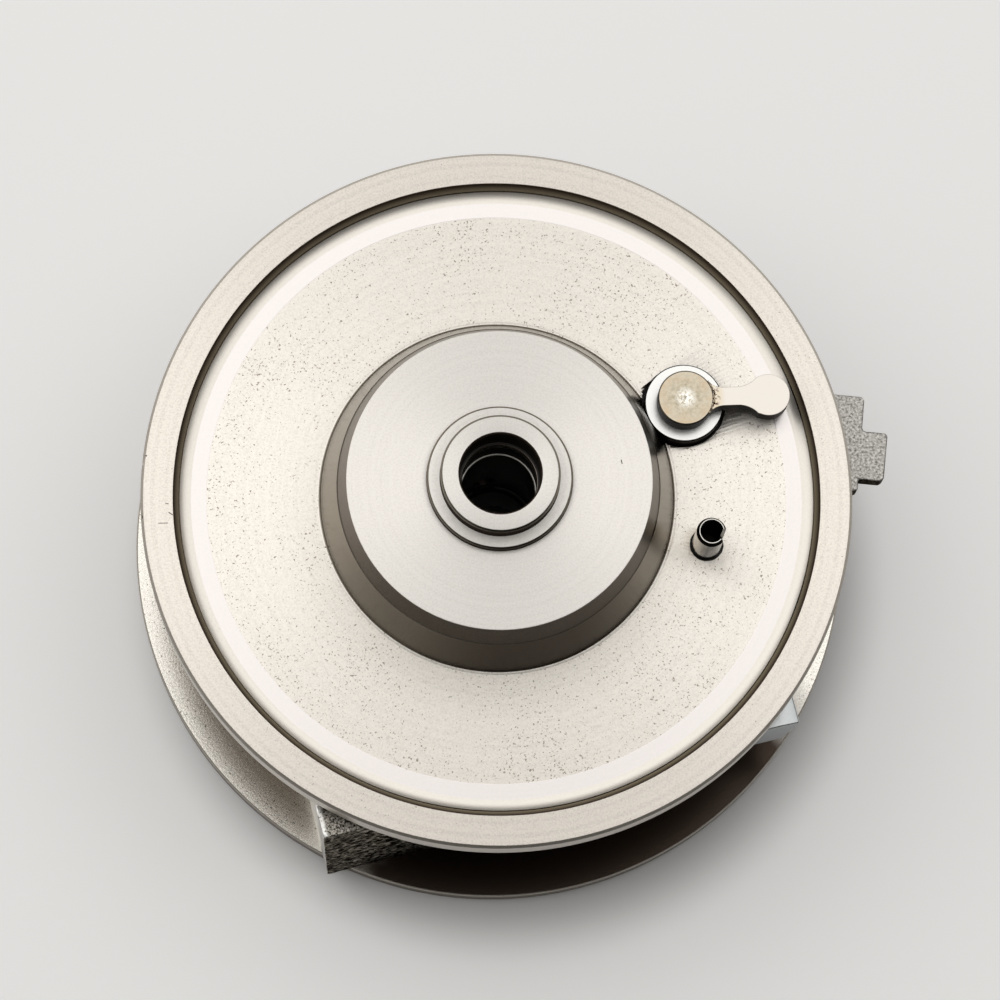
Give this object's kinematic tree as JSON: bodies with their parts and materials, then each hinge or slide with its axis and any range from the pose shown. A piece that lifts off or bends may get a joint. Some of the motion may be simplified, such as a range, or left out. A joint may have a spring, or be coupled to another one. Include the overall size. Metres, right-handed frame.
{
  "type": "turbo bearing housing",
  "caption": "Turbocharger bearing housing with two round flanges on a waisted barrel, a coned hub with the bearing bore, a turning crank with its arm, and a roll pin.",
  "frame": {"origin": "centre of the bearing bore in the plane of the compressor-side face", "axes": "+Z along the bearing bore towards the turbine side; +X towards the stop lug, about in line with the crank's inner arm"},
  "size_m": [0.1311, 0.1258, 0.0611],
  "materials": {
    "casting": "turned and blasted bright casting",
    "bush_steel": "polished",
    "crank_steel": "heat-tinted satin",
    "arm_steel": "satin",
    "lever_steel": "satin",
    "pin_steel": "ground",
    "spring_steel": "dark spring steel"
  },
  "bodies": {
    "housing": {"bearing_housing": "casting", "crank_bush": "bush_steel", "roll_pin": "spring_steel"},
    "crank": {"crank_shaft": "crank_steel", "crank_arm": "arm_steel", "outer_lever": "lever_steel", "lever_pin": "pin_steel"}
  },
  "joints": [
    {"name": "crank_turn", "type": "hinge", "parent": "housing", "child": "crank", "pos_m": [0.03168, 0.0158, 0.035], "axis": [0, 0, 1], "range_deg": [-22, 22]}
  ]
}
